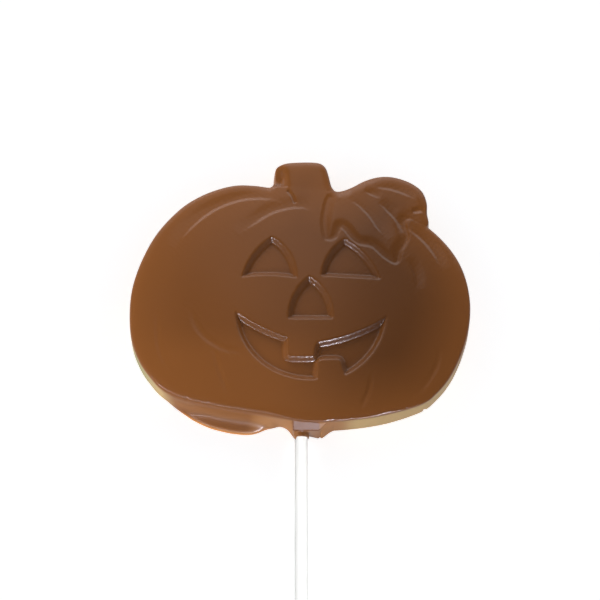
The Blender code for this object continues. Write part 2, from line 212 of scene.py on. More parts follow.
leaf = {
    "outline": [
        (7, 19.8), (8.2, 19), (9.7, 19.9), (11.2, 22.9), (12.6, 22.1), (15.8, 18.1),
        (20.2, 16.8), (23.8, 13.4), (26.7, 11.7), (28, 15.2), (30.1, 19.6), (29.6, 24.2),
        (31.6, 26.2), (36.5, 23.7), (36.5, 27.8), (36.6, 31.2), (35.5, 34.9), (33, 37.4), (30, 39),
        (26.4, 40), (22.5, 39.9), (18.4, 38.5), (15, 36.5), (12, 35.2), (9.6, 34.7), (8, 32.6),
        (7, 29), (6.4, 24.4),
    ],
    "raise": 0.1, "raiseRun": 3.6, "raiseFillet": 1.6,
    "borderDepth": 0.19,
    "borderOutside": 1.15,  # width of the border's outer side, the one that catches light
    "borderInside": 2.8,
    "borderFine": 1.2,      # the mesh is cut finest this near the border
    # centre line, depth, width of the steep side on the line's right and of the gentle one
    "veins": [
        ([(13.8, 32.4), (16.6, 30.6), (19.6, 27.2), (22.2, 22.8), (24.8, 18.9)], 0.23, 1.15, 4.2),
        ([(22.6, 31.4), (25.8, 27.8), (28, 24.6), (29.6, 20.6)], 0.21, 1.1, 3.8),
        ([(18.4, 35.1), (20.8, 33.9), (23.2, 32.7)], 0.17, 1.0, 2.6),
        ([(21, 36.7), (26, 35.9), (30, 34.4), (33.6, 32.4)], 0.22, 1.15, 3.4),
        ([(31.9, 28.4), (33.4, 28.3), (35.2, 28.8)], 0.3, 1.2, 1.4),
    ],
}
carving = {
    "leftEye": [(-16.9, 6.7), (-12.7, 15.9), (-8.3, 20), (-3.2, 14.6), (-1.1, 6.4), (-9, 7.3)],
    "rightEye": [(5.4, 7.1), (8.5, 15.6), (12.4, 19.4), (18.7, 13.7), (22.4, 6.1), (14, 6.6)],
    "nose": [(-3.8, -5.9), (-2.3, 1.6), (2.3, 7.5), (7.2, 2.2), (8.9, -5.9), (2.5, -6)],
    "mouth": [
        (-18.4, -3.1), (-11, -7.9), (-3.4, -11.2), (-3.6, -13.5), (-3.4, -16.6), (0, -16.7),
        (3.4, -16.6), (3.5, -14.5), (4.3, -12.5), (14, -9.9), (23.7, -4.8), (20.6, -14.2),
        (11.6, -22.4), (10.9, -20.1), (10.4, -17.8), (7.5, -17.7), (4.9, -18),
        (4.6, -20.6), (4.5, -23.5), (-11.2, -18.6),
    ],
    "depth": 1.3,
    "wallRun": 2.0,
    "wallFillet": 0.8,
    "lead": 0.2,          # the rounded edge starts this far outside the outline
    "wobble": 0.035,      # and this much nearer or farther from place to place
    "cornerPasses": 6,
}
# the rib lines of the pumpkin, described as the leaf's veins are
ribs = [
    ([(-36.2, 16.2), (-32.7, 22.2), (-26.5, 28.3), (-19.3, 31.9), (-12, 32.9), (-4.6, 31.8)],
     0.27, 1.3, 4),
    ([(-18.2, 21), (-14, 24.3), (-9, 27.8), (-4, 29.5), (0, 29.8), (3.4, 28.9)], 0.27, 1.3, 4),
    ([(30.2, 23.3), (34.5, 19.5), (37.7, 15.1), (40.2, 9.6)], 0.25, 1.3, 4),
    ([(30.4, 13), (32.2, 8), (32.6, 3.2)], 0.14, 1.2, 3),
    ([(-39.9, -1), (-39, -12.5), (-36.6, -18.8), (-33.3, -22.7)], 0.08, 1.1, 1.1),
    ([(-23.8, -14.1), (-22, -20.7), (-19, -28)], 0.1, 1.1, 1.1),
    ([(19, -22), (17.8, -27), (15.6, -31.5)], 0.14, 1.0, 1.0),
    ([(37.7, -13.6), (36.1, -20.3), (31, -27.4)], 0.1, 1.1, 1.1),
    # the faint band of the cheek
    ([(-30.5, -2.3), (-29, -7), (-25.7, -11.5), (-20.5, -14.6), (-15, -15.3)], 0.1, 1.4, 1.4),
]

bodyRing = curveThrough(pumpkin["outline"], True)
stemRing = curveThrough(stem["outline"], True)
leafRing = curveThrough(leaf["outline"], True)
carvedRings = [arcRing(carving[name], carving["cornerPasses"])
               for name in ("leftEye", "rightEye", "nose", "mouth")]
lines = [(curveThrough(points, False), depth, steep, gentle)
         for points, depth, steep, gentle in ribs + leaf["veins"]]
seamLine = curveThrough(stem["seam"], False)


def outerRing():
    # the edge of body, stem and leaf together: the farthest crossing along each ray
    angles = np.linspace(0, 2 * math.pi, 4000, endpoint=False)
    away = np.column_stack([np.cos(angles), np.sin(angles)])
    far = np.zeros(len(angles))
    for ring in (bodyRing, stemRing, leafRing):
        start, step = ring, np.roll(ring, -1, 0) - ring
        facing = away[:, :1] * step[:, 1] - away[:, 1:] * step[:, 0]
        facing = np.where(np.abs(facing) < 1e-9, 1e-9, facing)
        reach = (start[:, 0] * step[:, 1] - start[:, 1] * step[:, 0]) / facing
        along = (start[:, 0] * away[:, 1:] - start[:, 1] * away[:, :1]) / facing
        hit = (along >= -1e-6) & (along <= 1 + 1e-6)
        far = np.maximum(far, np.where(hit, reach, 0).max(1))
    ring = evenSteps(away * far[:, None], True, pumpkin["columnStep"])
    return softened(ring, pumpkin["notchPasses"])


rimRing = outerRing()


def fallAway(inside):
    # what a shape loses past its own outline, where the next shape takes over
    past = smoothMax(-pumpkin["dropStart"] - inside, np.zeros(len(inside)), 0.5)
    return pumpkin["dropSlope"] * past


def topAt(points):
    # the moulded front before anything is pressed into it
    x, y = points.T
    reach = (x / pumpkin["crownHalfWidth"]) ** 2 + (y / pumpkin["crownHalfLength"]) ** 2
    crown = pumpkin["faceHeight"] + pumpkin["crown"] * np.maximum(0, 1 - reach ** 1.5)
    leafIn = depthIn(points, leafRing, 4)
    face = crown + leaf["raise"] * ramp(leafIn, leaf["raiseRun"], leaf["raiseFillet"])
    bodyIn = depthIn(points, bodyRing, 6)
    face = face - fallAway(np.maximum(bodyIn, leafIn))
    share = (y - stem["footY"]) / (stem["endY"] - stem["footY"])
    plane = stem["footHeight"] + (stem["endHeight"] - stem["footHeight"]) * share
    foot, end = np.array(stem["facetFoot"]), np.array(stem["facetTop"])
    along = (end - foot) / np.linalg.norm(end - foot)
    across = (points - foot) @ np.array([-along[1], along[0]])
    facet = stem["endHeight"] - stem["facetSlope"] * across
    front = -smoothMax(-plane, -facet, stem["facetBlend"])
    place, size, depth = stem["pocket"]
    front = front - depth * mound(points, place, size)
    front = front - fallAway(depthIn(points, stemRing, 3))
    near = np.clip(1 - depthIn(points, rimRing, 4) / pumpkin["edgeRun"], 0, 1.2)
    return smoothMax(face, front, stem["joinBlend"]) - pumpkin["edgeRoll"] * near ** 2


def reliefAt(points):
    # everything pressed into the front
    x, y = points.T
    sunk = np.full(len(points), -3.0)
    for ring in carvedRings:
        sunk = np.maximum(sunk, depthIn(points, ring, 3))
    uneven = np.sin(x * 4.1 + 2 * np.sin(y * 1.3)) * np.sin(y * 3.7 + 2 * np.sin(x * 1.1))
    start = carving["lead"] + carving["wobble"] * uneven
    low = carving["depth"] * ramp(sunk + start, carving["wallRun"], carving["wallFillet"])
    for line, depth, steep, gentle in lines:
        gap, share, onLeft = gapTo(points, line, False, max(steep, gentle))
        aside = np.minimum(1, gap / np.where(onLeft, gentle, steep))
        low = low + depth * (1 - aside ** 2) ** 2 * np.sin(np.pi * share)
    gap = gapTo(points, seamLine, False, stem["seamWidth"])[0]
    low = low + stem["seamDepth"] * (1 - (gap / stem["seamWidth"]) ** 2) ** 2
    # the engraved line round the leaf fades where the leaf itself is the outer edge
    inside = depthIn(points, leafRing, 5)
    side = np.where(inside > 0, inside / leaf["borderInside"], -inside / leaf["borderOutside"])
    inner = np.clip((depthIn(points, bodyRing, 3) - 0.3) / 1.2, 0, 1)
    inner = inner * (0.8 + 0.2 * np.clip((x - 8) / 3, 0, 1))
    low = low + leaf["borderDepth"] * (1 - np.clip(side, 0, 1) ** 2) ** 2 * inner
    return low


def frontHeight(points):
    # height of the finished front above the flat back
    x, y = points.T
    wave = (np.sin(x / 5.1 + 0.6 * np.sin(y / 7)) * np.sin(y / 6.3 + 1.1)
            + 0.7 * np.sin(x / 8.7 - y / 9.4 + 2))
    fine = np.sin(x * 2.9 + 1.3 * np.sin(y * 1.1)) * np.sin(y * 3.3 + 1.1 * np.sin(x * 0.9))
    shape = topAt(points) - reliefAt(points)
    return shape + pumpkin["waveHeight"] * wave + pumpkin["fineHeight"] * fine


# modelling helpers
def deselectAll():
    # back to object mode with nothing selected
    if bpy.context.object and bpy.context.object.mode != "OBJECT":
        bpy.ops.object.mode_set(mode="OBJECT")
    bpy.ops.object.select_all(action="DESELECT")


def pick(obj):
    deselectAll()
    obj.select_set(True)
    bpy.context.view_layer.objects.active = obj
    return obj


def places(obj):
    # the mesh's points in millimetres
    found = np.empty(len(obj.data.vertices) * 3)
    obj.data.vertices.foreach_get("co", found)
    return found.reshape(-1, 3) / mm


def movePoints(obj, points):
    obj.data.vertices.foreach_set("co", (points * mm).ravel())
    obj.data.update()


def applyAll(obj):
    pick(obj)
    for modifier in list(obj.modifiers):
        bpy.ops.object.modifier_apply(modifier=modifier.name)


def joinByBoolean(obj, other, operation):
    cut = obj.modifiers.new("join", "BOOLEAN")
    cut.operation = operation
    cut.solver = "MANIFOLD"
    cut.object = other
    applyAll(obj)
    bpy.data.objects.remove(other, do_unlink=True)


def rolledGrid(name, columns, rows, table):
    # a grid rolled into a closed band: table[row][column] is a place in millimetres
    deselectAll()
    bpy.ops.mesh.primitive_grid_add(x_subdivisions=columns, y_subdivisions=rows - 1, size=2 * mm)
    band = bpy.context.object
    band.name = name
    start = places(band)
    column = np.rint((start[:, 0] + 1) / 2 * columns).astype(int) % columns
    row = np.rint((start[:, 1] + 1) / 2 * (rows - 1)).astype(int)
    movePoints(band, table[row, column])
    bpy.ops.object.mode_set(mode="EDIT")
    bpy.ops.mesh.select_all(action="SELECT")
    bpy.ops.mesh.remove_doubles(threshold=0.004 * mm)
    bpy.ops.object.mode_set(mode="OBJECT")
    return band


def outward(ring, passes):
    # unit normals of a closed line, pointing out of it
    along = softened(np.roll(ring, -1, 0) - np.roll(ring, 1, 0), passes)
    normal = np.column_stack([along[:, 1], -along[:, 0]])
    return normal / np.linalg.norm(normal, axis=1)[:, None]


# the thin sheet that ran out of the mould, and the flared foot beside the stick
spill = {
    "outline": [
        (-41.8, -19.8), (-39.8, -24.4), (-36, -28.1), (-30.7, -32.2), (-25.6, -34.9),
        (-20.5, -36.4), (-15.5, -37.1), (-12.2, -36.8), (-9.6, -35.6), (-6.3, -34.4),
        (-7, -28), (-20, -26), (-32, -22),
    ],
    "height": 1.3,
    # place and reach of the two pulled feet beside the stick, and how far they spread
    "feet": [((-1.5, -34.9), 2.7, 1.7, 1.6), ((5.4, -34.8), 2.4, 1.6, 2.2)],
    "rightFlare": 0.4,
}


def spillReach(ring, normals):
    # how far the sheet stands out from the foot of the wall at each column
    sheet = curveThrough(spill["outline"], True)
    foot = ring + normals * pumpkin["draft"]
    reach = np.zeros(len(ring))
    for step in np.arange(0.1, 7, 0.1):
        inside = depthIn(foot + normals * step, sheet, 1) > 0
        reach = np.where(inside, step, reach)
    return softened(reach[:, None], 14)[:, 0]


def flareReach(ring):
    # the wall leans out where chocolate was drawn along the stick
    reach = np.zeros(len(ring))
    low = ring[:, 1] < -25
    for (x, y), far, left, right in spill["feet"]:
        side = np.where(ring[:, 0] < x, left, right)
        reach = np.maximum(reach, far * np.exp(-np.abs((ring[:, 0] - x) / side) ** 1.4) * low)
    along = ring[:, 0]
    wider = np.clip((along - 5) / 4, 0, 1) * np.clip((31 - along) / 8, 0, 1) * low
    return np.maximum(reach, spill["rightFlare"] * wider)


def wallRow(top, reach, flare, rows):
    # outward offset and height down the wall of one column
    thick = spill["height"] * min(1, reach / 1.2)
    soft = min(1, reach)
    foot = pumpkin["draft"] + flare
    down = np.array([
        (0, top), (0.3 * foot, top * 0.7), (0.8 * foot, thick + 0.9 * soft + 0.6),
        (foot + 0.3 * soft, thick + 0.12 * soft + 0.15), (foot + 0.45 * reach, thick * 0.8 + 0.1),
        (foot + reach - 0.3 * soft, thick * 0.4 + 0.1), (foot + reach, thick * 0.2 + 0.08),
        (foot + reach - 0.05, 0.06), (foot + reach - 0.3, 0)])
    along = np.concatenate([[0], np.cumsum(np.linalg.norm(np.diff(down, axis=0), axis=1))])
    at = np.linspace(0, along[-1], rows)
    return np.column_stack([np.interp(at, along, down[:, k]) for k in range(2)])


def makeRimAndWall():
    ring = rimRing
    normals = outward(ring, 6)
    count = len(ring)
    x, y = ring.T
    spin = np.arctan2(y, x)
    # the lower edge is crisp on the right, with small flats that catch the light
    lower = np.clip((-20 - y) / 9, 0, 1)
    uneven = 0.3 * np.sin(x / 0.55 + 1) * np.sin(x / 1.9) + 0.2 * np.sin(x / 1.1)
    crisp = lower * np.clip((x + 9) / 10, 0, 1)
    soft = lower - crisp
    radius = pumpkin["rimRound"] * (1 - lower) + soft * pumpkin["softRound"]
    radius = radius + crisp * pumpkin["crispRound"] * (1 + 0.4 * uneven)
    flat = sum(much * np.exp(-((x - place) / wide) ** 2)
               for place, wide, much in pumpkin["glints"])
    flat = np.clip(flat * (1 + uneven), 0, 0.5) * lower
    tilted = math.radians(pumpkin["rimStart"])
    slope = pumpkin["flatSlope"]
    leaning = math.radians(slope)
    inward = radius * (1 - math.cos(tilted)) + flat * math.cos(leaning)
    top = frontHeight(ring - normals * inward[:, None])
    table = []
    for degrees in (pumpkin["rimStart"], 70, 92 - slope, 88 - slope, 36, 18, 0):
        a = math.radians(degrees)
        above = a + leaning > math.pi / 2
        inward = radius * (1 - math.cos(a)) + above * flat * math.cos(leaning)
        height = top - radius * (math.sin(tilted) - math.sin(a))
        height = height - (not above) * flat * math.sin(leaning)
        table.append(np.column_stack([ring - normals * inward[:, None], height]))
    reach = spillReach(ring, normals)
    flare = flareReach(ring)
    rows = pumpkin["wallRows"]
    foot = top - radius * math.sin(tilted) - flat * math.sin(leaning)
    wall = np.array([wallRow(foot[i], reach[i], flare[i], rows) for i in range(count)])
    for _ in range(3):
        wall[:, 1:-1] = 0.5 * wall[:, 1:-1] + 0.25 * (wall[:, :-2] + wall[:, 2:])
    ripple = pumpkin["wallRipple"] * np.sin(spin * 37) * np.sin(spin * 11 + 1)
    place, wide, deep = pumpkin["nick"]
    nick = deep * np.exp(-((x - place) / wide) ** 2) * lower
    for k in range(1, rows):
        belly = math.sin(math.pi * k / (rows - 1))
        bitten = nick * max(0, k / (rows - 1) - 0.55) / 0.45
        shifted = ring + normals * (wall[:, k, 0] + ripple * belly - bitten)[:, None]
        table.append(np.column_stack([shifted, wall[:, k, 1]]))
    return rolledGrid("rimAndWall", count, len(table), np.array(table))


def featureGap(points):
    # distance to the nearest edge or groove, for deciding where the mesh is cut finer
    gap = np.full(len(points), 9.0)
    for ring in carvedRings:
        inward = depthIn(points, ring, 5)
        foot = carving["wallRun"] + carving["lead"]
        gap = np.minimum(gap, np.where(inward > 0, np.maximum(0, inward - foot), -inward))
    fineLines = [(line, False, steep) for line, depth, steep, gentle in lines]
    fineLines += [(seamLine, False, stem["seamWidth"]), (leafRing, True, leaf["borderFine"]),
                  (stemRing, True, stem["edgeFine"])]
    for line, closed, width in fineLines:
        gap = np.minimum(gap, np.maximum(0, gapTo(points, line, closed, 4)[0] - width))
    place, size = stem["fineArea"]
    area = np.abs(points - np.array(place)) / np.array(size)
    return np.where(area.max(1) < 1, 0, gap)


def makeFront():
    # a grid, cut finer near every edge, trimmed to just inside the rim
    low, high = rimRing.min(0) - 1, rimRing.max(0) + 1
    cell = pumpkin["cell"]
    cells = np.ceil((high - low) / cell).astype(int)
    middle = (low + high) / 2
    deselectAll()
    bpy.ops.mesh.primitive_grid_add(
        x_subdivisions=int(cells[0]), y_subdivisions=int(cells[1]), size=2 * mm,
        location=(middle[0] * mm, middle[1] * mm, 0))
    front = bpy.context.object
    front.name = "front"
    front.scale = (cells[0] * cell / 2, cells[1] * cell / 2, 1)
    bpy.ops.object.transform_apply(location=True, rotation=False, scale=True)
    for near in (1.6, 0.25):
        centres = np.empty(len(front.data.polygons) * 3)
        front.data.polygons.foreach_get("center", centres)
        centres = centres.reshape(-1, 3)[:, :2] / mm
        chosen = (featureGap(centres) < near) & (depthIn(centres, rimRing, 3) > 0)
        bpy.ops.object.mode_set(mode="EDIT")
        bpy.ops.mesh.select_mode(type="FACE")
        bpy.ops.mesh.select_all(action="DESELECT")
        bpy.ops.object.mode_set(mode="OBJECT")
        front.data.polygons.foreach_set("select", chosen)
        bpy.ops.object.mode_set(mode="EDIT")
        bpy.ops.mesh.subdivide(number_cuts=1, ngon=False)
        bpy.ops.object.mode_set(mode="OBJECT")
    points = places(front)[:, :2]
    beyond = depthIn(points, rimRing, 3) < pumpkin["softRound"] + 0.25
    bpy.ops.object.mode_set(mode="EDIT")
    bpy.ops.mesh.select_mode(type="VERT")
    bpy.ops.mesh.select_all(action="DESELECT")
    bpy.ops.object.mode_set(mode="OBJECT")
    front.data.vertices.foreach_set("select", beyond)
    bpy.ops.object.mode_set(mode="EDIT")
    bpy.ops.mesh.delete(type="VERT")
    bpy.ops.object.mode_set(mode="OBJECT")
    points = places(front)
    points[:, 2] = frontHeight(points[:, :2])
    movePoints(front, points)
    return front


def closeGap(obj, lowest, highest):
    # fills between the open edges that lie within a range of heights
    pick(obj)
    bpy.ops.object.mode_set(mode="EDIT")
    bpy.ops.mesh.select_mode(type="EDGE")
    bpy.ops.mesh.select_all(action="DESELECT")
    bpy.ops.mesh.select_non_manifold(extend=False, use_wire=True, use_boundary=True,
                                     use_multi_face=False, use_non_contiguous=False,
                                     use_verts=False)
    bpy.ops.object.mode_set(mode="OBJECT")
    height = places(obj)[:, 2]
    chosen = [edge.select and all(lowest <= height[end] <= highest for end in edge.vertices)
              for edge in obj.data.edges]
    bpy.ops.object.mode_set(mode="EDIT")
    bpy.ops.mesh.select_all(action="DESELECT")
    bpy.ops.object.mode_set(mode="OBJECT")
    obj.data.edges.foreach_set("select", chosen)
    bpy.ops.object.mode_set(mode="EDIT")
    bpy.ops.mesh.fill(use_beauty=True)
    bpy.ops.object.mode_set(mode="OBJECT")


# the block that holds the stick, and the film that crept along the stick
stickHold = {
    "left": -2.3, "right": 8, "back": -31, "front": -36.9, "top": 6.65,
    # the slope on its front, and the slant where its right side runs out
    "rampTop": (0, -33.9, 6.65), "rampNormal": (0, -0.53, 0.85),
    "slantStart": (4.6, -36.9, 0), "slantNormal": (0.62, -0.78, 0),
    "collarRadius": 2.1, "collarFront": -38.3,
    "dripPlace": (-1.25, -38.6, 3.1), "dripRadius": 0.95, "dripLength": 2.4,
    "footReach": 0.95,     # how far the foot is drawn out beside the stick
    "voxel": 0.15,
}
stick = {
    "radius": 1.75, "axisHeight": 2.5, "front": -119, "back": -5,
    "boreLength": 37, "clearance": 0.01,   # the hole for it in the chocolate
    "columns": 72, "rowStep": 1.5, "endRound": 0.25,
    "paper": 0.045,        # thickness of the paper edge that shows as a seam
    "seamTurn": 1.1,       # turns the seam makes along the stick
}


def makeStickHold():
    held = stickHold
    size = (held["right"] - held["left"], held["back"] - held["front"], held["top"])
    deselectAll()
    bpy.ops.mesh.primitive_cube_add(size=mm, scale=size, location=(
        (held["right"] + held["left"]) / 2 * mm, (held["back"] + held["front"]) / 2 * mm,
        held["top"] / 2 * mm))
    block = bpy.context.object
    block.name = "stickHold"
    bpy.ops.object.transform_apply(location=True, rotation=False, scale=True)
    bpy.ops.object.mode_set(mode="EDIT")
    for place, normal in (("rampTop", "rampNormal"), ("slantStart", "slantNormal")):
        bpy.ops.mesh.select_all(action="SELECT")
        bpy.ops.mesh.bisect(plane_co=[v * mm for v in held[place]], plane_no=held[normal],
                            use_fill=True, clear_outer=True)
    bpy.ops.object.mode_set(mode="OBJECT")
    long = held["front"] + 2 - held["collarFront"]
    bpy.ops.mesh.primitive_cylinder_add(
        vertices=48, radius=held["collarRadius"] * mm, depth=long * mm,
        location=(0, (held["collarFront"] + long / 2) * mm, stick["axisHeight"] * mm),
        rotation=(math.pi / 2, 0, 0))
    collar = bpy.context.object
    bpy.ops.object.transform_apply(location=True, rotation=True, scale=True)
    bpy.ops.object.mode_set(mode="EDIT")
    bpy.ops.mesh.select_all(action="SELECT")
    bpy.ops.mesh.bisect(plane_co=(0, 0, 0), plane_no=(0, 0, -1), use_fill=True, clear_outer=True)
    bpy.ops.object.mode_set(mode="OBJECT")
    joinByBoolean(block, collar, "UNION")
    # a tip of chocolate that ran along the left of the stick
    bpy.ops.mesh.primitive_cone_add(
        vertices=24, radius1=held["dripRadius"] * mm, radius2=0.1 * mm,
        depth=held["dripLength"] * mm, location=[v * mm for v in held["dripPlace"]],
        rotation=(math.pi / 2, 0, 0))
    drip = bpy.context.object
    bpy.ops.object.transform_apply(location=True, rotation=True, scale=True)
    joinByBoolean(block, drip, "UNION")
    remesh = block.modifiers.new("melt", "REMESH")
    remesh.mode = "VOXEL"
    remesh.voxel_size = held["voxel"] * mm
    smooth = block.modifiers.new("soften", "SMOOTH")
    smooth.factor = 0.5
    smooth.iterations = 5
    applyAll(block)
    # its foot is drawn out towards the right, most at the bottom
    points = places(block)
    x, y, z = points.T
    drawn = held["footReach"] * np.clip((x - 1) / 4, 0, 1.1) * np.clip(1 - z / 5, 0, 1) ** 1.5
    points[:, 1] -= drawn * np.clip((-35.5 - y) / 1.2, 0, 1)
    points[:, 2] = np.maximum(points[:, 2], 0)
    movePoints(block, points)
    return block


def makeChocolate():
    # rim, wall and front are bridged, then the stick's block is joined and its hole cut
    chocolate = makeRimAndWall()
    front = makeFront()
    pick(chocolate)
    front.select_set(True)
    bpy.ops.object.join()
    chocolate.name = "milkChocolate"
    closeGap(chocolate, 3, 9)
    closeGap(chocolate, -0.01, 0.01)
    pick(chocolate)
    bpy.ops.object.mode_set(mode="EDIT")
    bpy.ops.mesh.select_all(action="SELECT")
    bpy.ops.mesh.normals_make_consistent(inside=False)
    bpy.ops.object.mode_set(mode="OBJECT")
    print("chocolate sheet:", len(chocolate.data.vertices), "points")
    joinByBoolean(chocolate, makeStickHold(), "UNION")
    deselectAll()
    long, clear = stick["boreLength"], stick["clearance"]
    bpy.ops.mesh.primitive_cylinder_add(
        vertices=stick["columns"], radius=(stick["radius"] + clear) * mm, depth=long * mm,
        location=(0, (stick["back"] + clear - long / 2) * mm, stick["axisHeight"] * mm),
        rotation=(math.pi / 2, 0, 0))
    bore = bpy.context.object
    bpy.ops.object.transform_apply(location=True, rotation=True, scale=True)
    joinByBoolean(chocolate, bore, "DIFFERENCE")
    pick(chocolate)
    bpy.ops.object.shade_smooth_by_angle(angle=math.radians(50))
    return chocolate


def between(along, run):
    # 0 before the start, 1 after the run, smooth in the middle
    u = np.clip(along / run, 0, 1)
    return u * u * (3 - 2 * u)


# where the chocolate's colours change, in millimetres, and how strongly; most of these paint shade
# and light into its colour
tints = {
    "wallTop": 6.5,
    "darkRun": 16,         # painted shade: the face darkens from the rim over this width
    "dark": (0.37, 0.25, 0.36),  # painted shade at the left, more in the middle, more again at the right
    "lowLeftLoss": 0.8,    # what the lower left keeps off that painted shade
    "paleRight": 0.6,      # what the wall's right end loses of its painted light
    "paleBehind": 0.2,     # what the wall keeps of that painted light at the back
    # share of the painted light near the stick that the spilled sheet gets
    "sheetPink": 0.3,
    "sheet": (-38, -6, -24),     # left end, right end and back of the spilled sheet
    "block": (1.2, 4, -34.2),    # middle, half width and start of the stick's block
    "blockRamp": 4.2,            # height at which its front slopes back
    # painted light on the side wall near the stick: its left and right ends
    "pinkWall": (-16, 15),
    # painted light on the side wall low at the left: its place and size
    "creamPlace": (-44, -18), "creamSize": (7, 7),
}


def tintChocolate(obj):
    # masks for the material, each from 0 to 1
    points = places(obj)
    flat, x, y, z = points[:, :2], *points.T
    outside = -depthIn(flat, rimRing, 3)
    wall = np.clip((outside + 0.2) / 0.3, 0, 1) * np.clip((tints["wallTop"] - z) / 0.7, 0, 1)
    left, right, back = tints["sheet"]
    sheet = np.clip((right - x) / 3, 0, 1) * np.clip((x - left) / 4, 0, 1)
    sheet = sheet * np.clip((back - y) / 3, 0, 1)
    low = sheet * np.clip((2.4 - z) / 1.6, 0, 1)
    centre, half, start = tints["block"]
    held = between(half - np.abs(x - centre), 0.7) * between(start - y, 0.6)
    ramped = held * between(z - tints["blockRamp"], 0.6)
    left, right = tints["pinkWall"]
    middle = between(x - left, 6) * between(right - x, 8)
    inner = np.clip(depthIn(flat, rimRing, 17) / tints["darkRun"], 0, 1) ** 0.7
    first, second, third = tints["dark"]
    dark = first + second * between(x + 25, 30) + third * between(x, 26)
    lowLeft = between(-6 - y, 12) * between(14 - x, 25)
    behind = tints["paleBehind"]
    beside = middle * (1 - 0.5 * held - 0.5 * ramped)
    masks = {
        # painted shade: darker from the rim inwards and towards the right, less at the lower left
        "shade": inner * dark * (1 - tints["lowLeftLoss"] * lowLeft),
        # painted light: the side wall lighter, most at the front where it faces the white floor
        "paleLight": (wall * (1 - sheet) * (1 - middle)
                 * (1 - tints["paleRight"] * between(x - 40, 6))
                 * (behind + (1 - behind) * between(6 - y, 16))),
        # painted light: the side wall near the stick and the spilled sheet lighter orange brown
        "pinkishLight": wall * np.maximum(beside, tints["sheetPink"] * sheet * (1 - low)),
        # painted light: the palest patch of the side wall, at the lower left
        "creamLight": wall * mound(flat, tints["creamPlace"], tints["creamSize"]),
        # painted glow where light shines through the sheet's thin outer edge
        "thin": sheet * np.clip((outside - 1.2) / 1, 0, 1) * np.clip((0.85 - z) / 0.5, 0, 1),
        "dull": wall * (1 - low) * (1 - held),
    }
    # the flat back shares its rim with the wall but not the wall's tints
    corners = np.zeros(len(obj.data.loops), np.int32)
    obj.data.loops.foreach_get("vertex_index", corners)
    faces = obj.data.polygons
    isBack = [face.normal.z < -0.9 and face.center.z < 0.05 * mm for face in faces]
    onBack = np.repeat(isBack, [face.loop_total for face in faces])
    for name, mask in masks.items():
        layer = obj.data.attributes.new(name, "FLOAT", "CORNER")
        values = np.where(onBack, 0, np.clip(mask, 0, 1)[corners])
        layer.data.foreach_set("value", values.astype(np.float32))


def makeStick():
    # a strip of paper rolled tight: the outer edge of the paper shows as a slow seam
    angle = np.arange(stick["columns"]) * 2 * math.pi / stick["columns"]
    long = stick["back"] - stick["front"]
    rows = []
    # the turns of the paper show at its front end as shallow rings
    for radius in (0.0, 0.35, 0.5, 0.75, 0.9, 1.15, 1.3):
        dip = 0.08 * (1 + math.cos(radius * 16)) + 0.04
        rows.append((radius, dip))
    for turn in (0.0, 0.35, 0.7, 1.0):
        rows.append((stick["radius"] - stick["endRound"] * (1 - math.sin(turn * math.pi / 2)),
                     stick["endRound"] * (1 - math.cos(turn * math.pi / 2))))
    count = round((long - 2 * stick["endRound"]) / stick["rowStep"])
    rows += [(stick["radius"], stick["endRound"] + (long - 2 * stick["endRound"]) * k / count)
             for k in range(1, count)]
    rows += [(stick["radius"], long - stick["endRound"]), (stick["radius"] - 0.2, long),
             (0.0, long)]
    table = []
    for radius, along in rows:
        turned = (angle / (2 * math.pi) + stick["seamTurn"] * along / long) % 1
        here = radius - stick["paper"] * turned * (radius > 1)
        y = np.full(len(angle), stick["front"] + along)
        table.append(np.column_stack([here * np.cos(angle), y,
                                      stick["axisHeight"] + here * np.sin(angle)]))
    rolled = rolledGrid("paperStick", stick["columns"], len(rows), np.array(table))
    bpy.ops.object.mode_set(mode="EDIT")
    bpy.ops.mesh.select_all(action="SELECT")
    bpy.ops.mesh.normals_make_consistent(inside=False)
    bpy.ops.object.mode_set(mode="OBJECT")
    bpy.ops.object.shade_smooth_by_angle(angle=math.radians(40))
    return rolled


# finishes
chocolateFinish = {
    "brown": (0.19, 0.066, 0.0152), "deep": (0.178, 0.0618, 0.0143),
    "shade": (0.086, 0.0296, 0.0066),  # painted shade: the middle and right of the face darker, where less light falls
    "paleLight": (0.46, 0.305, 0.13),       # painted light: the side wall lighter, as lit by the white floor
    "pinkishLight": (0.34, 0.152, 0.052),   # painted light: a lighter orange brown on the side wall near the stick and over the spilled sheet
    "creamLight": (0.29, 0.265, 0.115),     # painted light: the palest stretch of the side wall, low on the left
    "thin": (0.6, 0.24, 0.05),         # painted glow: light shining through the thin edge of the spilled sheet
    "roughness": (0.27, 0.35), "dullRoughness": 0.5,
    "coat": 0.5, "dullCoat": 0.1, "coatRoughness": 0.06,
    "cloudScale": 70, "grainScale": 700, "grainDepth": 0.00006,
}
paperFinish = {
    "white": (0.86, 0.865, 0.85), "shade": (0.8, 0.8, 0.77), "roughness": 0.62,
    "fibreScale": 1600, "fibreStretch": (1, 0.12, 1), "fibreDepth": 0.00003,
}


def newMaterial(name):
    material = bpy.data.materials.new(name)
    material.use_nodes = True
    tree = material.node_tree
    return material, tree, tree.nodes["Principled BSDF"]


def addNode(tree, kind, **values):
    node = tree.nodes.new("ShaderNode" + kind)
    for key, value in values.items():
        if key in node.inputs:
            node.inputs[key].default_value = value
        else:
            setattr(node, key, value)
    return node


